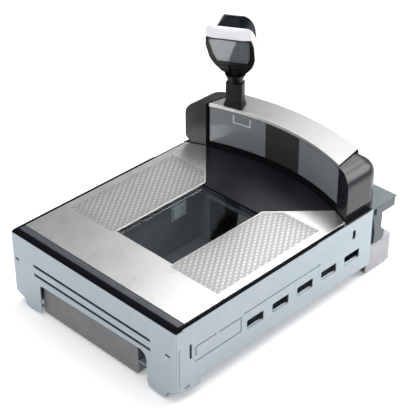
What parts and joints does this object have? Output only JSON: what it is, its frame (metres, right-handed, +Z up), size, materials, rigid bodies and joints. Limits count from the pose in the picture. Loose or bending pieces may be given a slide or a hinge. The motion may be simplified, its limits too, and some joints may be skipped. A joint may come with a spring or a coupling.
{
  "type": "in-counter barcode scanner",
  "caption": "In-counter barcode scanner: sheet-steel pan with a stainless platter and its window, a curved tower with upright windows behind it, and a scan head on a pole.",
  "frame": {"origin": "middle of the footprint, on the plane that the feet stand on", "axes": "+X to the cashier's right, +Y from the cashier to the customer, +Z up"},
  "size_m": [0.2932, 0.404, 0.314],
  "materials": {
    "zinc": "galvanised sheet, satin",
    "grey_housing": "fine moulded grain",
    "socket_black": "satin",
    "dark_steel": "satin grey-green coating",
    "rubber": "matt",
    "dark_plastic": "fine moulded grain",
    "stainless": "brushed",
    "black_plastic": "half gloss",
    "platter_glass": "polished, lightly tinted",
    "tower_glass": "polished, grey tinted",
    "head_glass": "polished, grey tinted",
    "mirror": "front-silvered glass",
    "lens_black": "half gloss",
    "lamp": "translucent diffuser",
    "board": "solder resist",
    "cap_plastic": "fine moulded grain",
    "button_black": "soft touch",
    "white_shell": "half gloss"
  },
  "bodies": {
    "scanner_body": {"front_panel": "zinc", "side_panel_left": "zinc", "side_panel_right": "zinc", "rear_panel": "zinc", "floor_pan": "zinc", "lower_housing": "grey_housing", "rear_housing": "grey_housing", "power_socket": "socket_black", "data_socket": "socket_black", "rear_shelf": "dark_steel", "rear_hanger_left": "dark_steel", "rear_hanger_right": "dark_steel", "platter_carrier": "dark_steel", "foot_front_left": "rubber", "foot_front_right": "rubber", "foot_rear_left": "rubber", "foot_rear_right": "rubber", "front_gasket": "rubber", "side_gasket_left": "rubber", "side_gasket_right": "rubber", "platter_pad_front_left": "rubber", "platter_pad_front_right": "rubber", "platter_pad_rear_left": "rubber", "platter_pad_rear_right": "rubber", "front_trim": "dark_plastic", "optics_well": "dark_plastic", "pole_base": "dark_plastic", "pole": "dark_plastic", "tower_top_cover": "stainless", "tower_base": "black_plastic", "tower_frame": "black_plastic", "tower_centre_panel": "black_plastic", "speaker": "black_plastic", "tower_window_left": "tower_glass", "tower_window_right": "tower_glass", "rear_mirror": "mirror", "tower_mirror_left": "mirror", "tower_mirror_right": "mirror", "well_camera": "lens_black", "tower_camera": "lens_black", "well_lamp": "lamp", "tower_lamp": "lamp", "main_board": "board", "tower_rear_shell": "cap_plastic", "end_cap_left": "cap_plastic", "end_cap_right": "cap_plastic"},
    "platter": {"platter_plate": "stainless", "platter_rear_cover": "dark_plastic", "window_frame": "black_plastic", "platter_window": "platter_glass"},
    "head_swivel": {"swivel_yoke": "black_plastic", "tilt_pin": "stainless"},
    "scan_head": {"head_bezel": "white_shell", "head_rear_cover": "black_plastic", "sight_frame": "black_plastic", "head_window": "head_glass", "head_core": "black_plastic", "head_camera": "lens_black"},
    "volume_key": {"volume_button": "button_black"},
    "tone_key": {"tone_button": "button_black"}
  },
  "joints": [
    {"name": "platter_lift", "type": "slide", "parent": "scanner_body", "child": "platter", "axis": [0, 0, 1], "range_m": [0, 0.06]},
    {"name": "head_turn", "type": "hinge", "parent": "scanner_body", "child": "head_swivel", "pos_m": [-0.0865, 0.1405, 0.233], "axis": [0, 0, 1], "range_deg": [-60, 60]},
    {"name": "head_tilt", "type": "hinge", "parent": "head_swivel", "child": "scan_head", "pos_m": [-0.0865, 0.1405, 0.233], "axis": [0.866, 0.5, 0], "range_deg": [-12, 12]},
    {"name": "volume_press", "type": "slide", "parent": "scanner_body", "child": "volume_key", "axis": [0.4386, 0.8987, 0], "range_m": [0, 0.0005], "stiffness_N_per_m": 600},
    {"name": "tone_press", "type": "slide", "parent": "scanner_body", "child": "tone_key", "axis": [0.419, 0.908, 0], "range_m": [0, 0.0005], "stiffness_N_per_m": 600}
  ]
}
